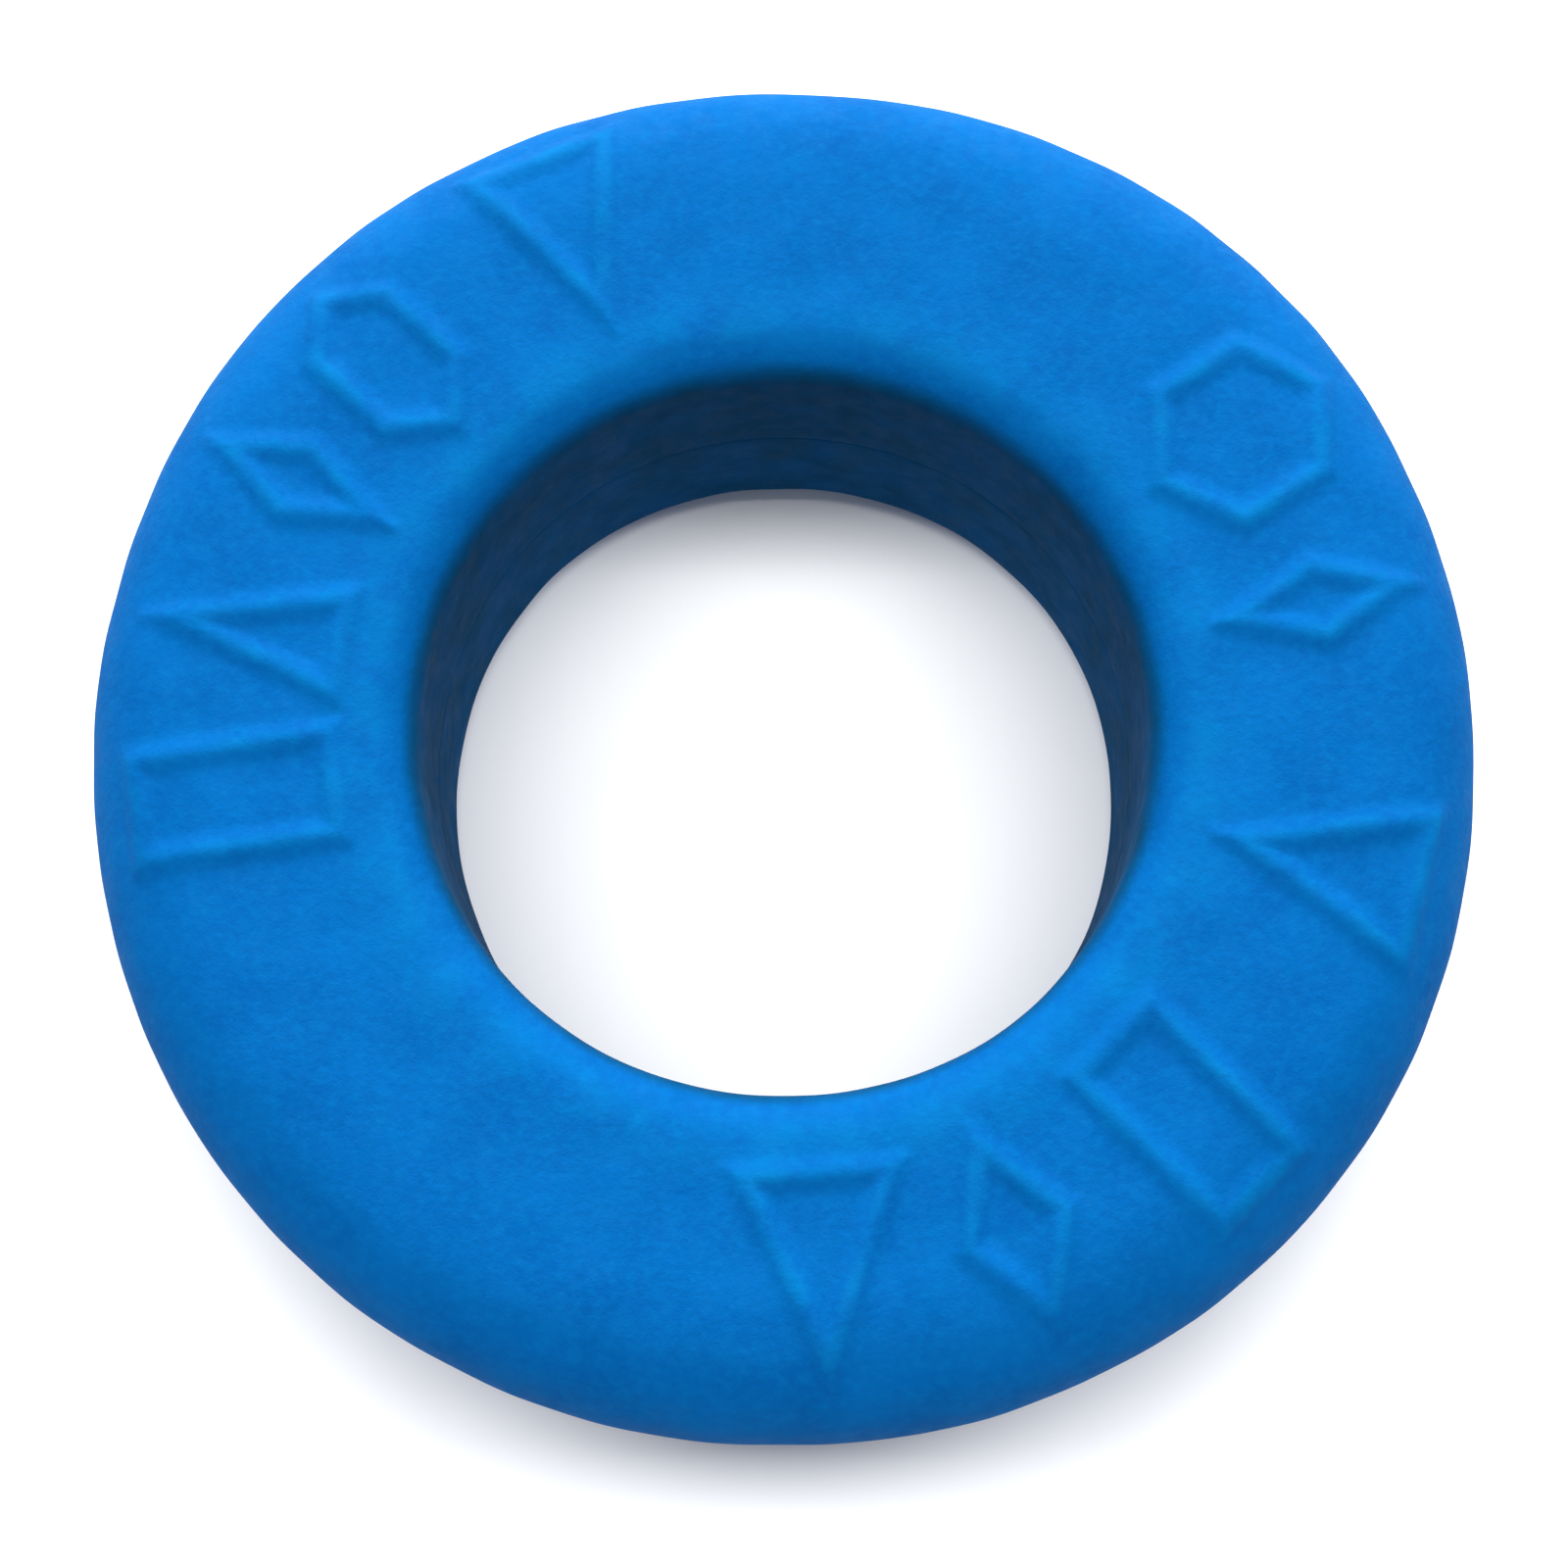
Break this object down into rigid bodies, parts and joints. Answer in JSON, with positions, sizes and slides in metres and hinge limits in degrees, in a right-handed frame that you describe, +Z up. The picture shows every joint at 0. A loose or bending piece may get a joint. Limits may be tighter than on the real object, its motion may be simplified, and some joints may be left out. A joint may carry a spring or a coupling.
{
  "type": "flying ring",
  "caption": "Soft throwing ring with a round hole, rounded edges, a flat underside and raised geometric outlines on its upper face.",
  "frame": {"origin": "centre of the flat underside that the ring rests on, on the ring's axis", "axes": "+Z up along the ring's axis, out of the face with the raised marks; +Y is the side away from the viewer's side, where the gap between the two groups of marks is"},
  "size_m": [0.15, 0.15, 0.0446],
  "materials": {
    "skin": "matt blue elastomer with a fine moulded grain",
    "core": "closed-cell foam",
    "bead": "flexible adhesive, satin"
  },
  "bodies": {
    "root": {"upper_skin": "skin", "lower_skin": "skin", "foam_core": "core", "outer_seam_bead": "bead", "inner_seam_bead": "bead"}
  },
  "joints": []
}
